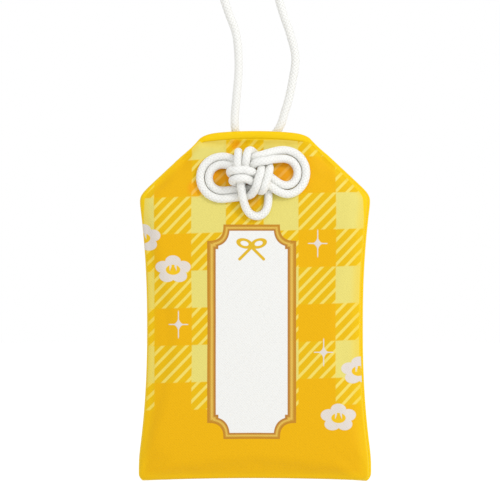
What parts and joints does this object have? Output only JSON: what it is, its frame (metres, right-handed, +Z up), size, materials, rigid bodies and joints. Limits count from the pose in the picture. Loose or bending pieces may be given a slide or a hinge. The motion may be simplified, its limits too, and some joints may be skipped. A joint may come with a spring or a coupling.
{
  "type": "brocade charm pouch",
  "caption": "Flat padded brocade pouch with a decorative cord knot on its front, hanging from a loop of cord.",
  "frame": {"origin": "where a peg or hook holds the cord loop, inside the loop's top just beneath the end knot", "axes": "+Z up along the hanging charm, -Y out of its front, +X to the right seen from the front"},
  "size_m": [0.0498, 0.0128, 0.1395],
  "materials": {
    "brocade": "woven brocade in amber and pale yellow",
    "backing_paper": "matt",
    "card": "matt",
    "white_paper": "matt",
    "pale_wood": "planed, bare",
    "white_cord": "smooth braided rayon"
  },
  "bodies": {
    "hanging_loop": {"loop_strand_left": "white_cord", "loop_strand_right": "white_cord", "end_knot_left": "white_cord", "end_knot_right": "white_cord"},
    "pouch": {"front_panel": "brocade", "back_panel": "brocade", "front_lining": "backing_paper", "back_lining": "backing_paper", "cord_pass_left": "white_cord", "cord_pass_right": "white_cord"},
    "knot": {"decorative_knot": "white_cord"},
    "insert": {"stiffener_card": "card", "paper_wrapper": "white_paper", "prayer_tablet": "pale_wood"}
  },
  "joints": [
    {"name": "pouch_swing", "type": "hinge", "parent": "hanging_loop", "child": "pouch", "pos_m": [0, 0, -0.0392], "axis": [1, 0, 0], "range_deg": [-75, 75]},
    {"name": "knot_lift", "type": "hinge", "parent": "pouch", "child": "knot", "pos_m": [0, -0.00311, -0.0455], "axis": [1, 0, 0], "range_deg": [-30, 0]},
    {"name": "insert_slide", "type": "slide", "parent": "pouch", "child": "insert", "axis": [0, 0, 1], "range_m": [0, 0.0015]}
  ]
}
